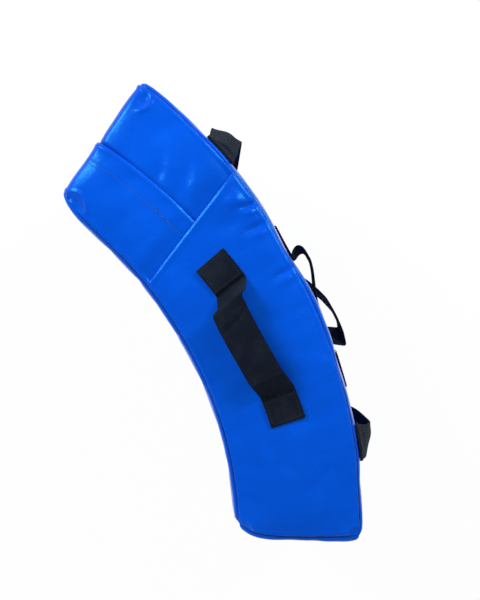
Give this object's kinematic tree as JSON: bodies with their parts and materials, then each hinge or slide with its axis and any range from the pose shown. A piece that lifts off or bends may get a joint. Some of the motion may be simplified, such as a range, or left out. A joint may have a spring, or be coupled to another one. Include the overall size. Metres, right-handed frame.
{
  "type": "curved tackle shield",
  "caption": "Curved foam tackle shield in a blue coated-fabric cover with a hook-and-loop closure, webbing carry and grip handles and arm straps.",
  "frame": {"origin": "on the resting side face, halfway along the shield on its centre arc", "axes": "+X from the hollow strike face to the convex back, +Y along the shield to its mouth end, +Z across its width, up from the resting side face"},
  "size_m": [0.2878, 0.6746, 0.4356],
  "materials": {
    "cover": "PVC-coated fabric, satin, fine grain",
    "webbing": "woven polyester webbing, matt",
    "hook_tape": "nylon hook tape",
    "loop_tape": "nylon loop tape",
    "foam_soft": "soft open-cell foam",
    "foam_firm": "firm closed-cell foam"
  },
  "bodies": {
    "root": {"foam_strike_layer": "foam_soft", "foam_core": "foam_firm", "foam_back_layer": "foam_firm", "near_side_panel": "cover", "far_side_panel": "cover", "strike_panel": "cover", "back_panel": "cover", "bottom_end_panel": "cover", "side_handle_upper_end": "webbing", "side_handle_lower_end": "webbing", "near_back_handle_upper_end": "webbing", "near_back_handle_lower_end": "webbing", "far_back_handle_upper_end": "webbing", "far_back_handle_lower_end": "webbing", "lower_arm_strap_upper_end": "webbing", "lower_arm_strap_lower_end": "webbing"},
    "outer_mouth": {"outer_closure_flap": "cover", "strike_panel_mouth": "cover", "closure_hook_tape": "hook_tape"},
    "inner_mouth": {"inner_closure_flap": "cover", "back_panel_mouth": "cover", "closure_loop_tape": "loop_tape", "upper_arm_strap_upper_end": "webbing", "upper_arm_strap_lower_end": "webbing"},
    "side_handle_loop": {"side_handle_grip": "webbing"},
    "near_back_handle_loop": {"near_back_handle_grip": "webbing"},
    "far_back_handle_loop": {"far_back_handle_grip": "webbing"},
    "upper_arm_strap_loop": {"upper_arm_strap_grip": "webbing"},
    "lower_arm_strap_loop": {"lower_arm_strap_grip": "webbing"}
  },
  "joints": [
    {"name": "outer_mouth_open", "type": "hinge", "parent": "root", "child": "outer_mouth", "pos_m": [-0.10549, 0.09858, 0.2], "axis": [0, 0, 1], "range_deg": [0, 100]},
    {"name": "inner_mouth_open", "type": "hinge", "parent": "root", "child": "inner_mouth", "pos_m": [0.07661, 0.18849, 0.2], "axis": [0, 0, 1], "range_deg": [-50, 0]},
    {"name": "side_handle_swing", "type": "hinge", "parent": "root", "child": "side_handle_loop", "pos_m": [-0.00507, -0.03516, 0.40139], "axis": [0.025, 0.9997, 0.0001], "range_deg": [-15, 27], "deforming": ["side_handle_upper_end", "side_handle_lower_end"]},
    {"name": "near_back_handle_swing", "type": "hinge", "parent": "root", "child": "near_back_handle_loop", "pos_m": [0.09075, -0.03482, 0.3], "axis": [0.067, 0.9978, 0], "range_deg": [-38, 38], "deforming": ["near_back_handle_upper_end", "near_back_handle_lower_end"]},
    {"name": "far_back_handle_swing", "type": "hinge", "parent": "root", "child": "far_back_handle_loop", "pos_m": [0.09093, -0.03483, 0.11], "axis": [0.0669, 0.9978, 0], "range_deg": [-45, 45], "deforming": ["far_back_handle_upper_end", "far_back_handle_lower_end"]},
    {"name": "upper_arm_strap_swing", "type": "hinge", "parent": "inner_mouth", "child": "upper_arm_strap_loop", "pos_m": [0.06748, 0.22139, 0.2], "axis": [0, 0, 1], "range_deg": [-35, 20], "deforming": ["upper_arm_strap_upper_end", "upper_arm_strap_lower_end"]},
    {"name": "lower_arm_strap_swing", "type": "hinge", "parent": "root", "child": "lower_arm_strap_loop", "pos_m": [0.05444, -0.22752, 0.2], "axis": [0, 0, 1], "range_deg": [-35, 30], "deforming": ["lower_arm_strap_upper_end", "lower_arm_strap_lower_end"]}
  ],
  "couplings": [
    {"joint": "inner_mouth_open", "follows": "outer_mouth_open", "ratio": -0.5}
  ]
}
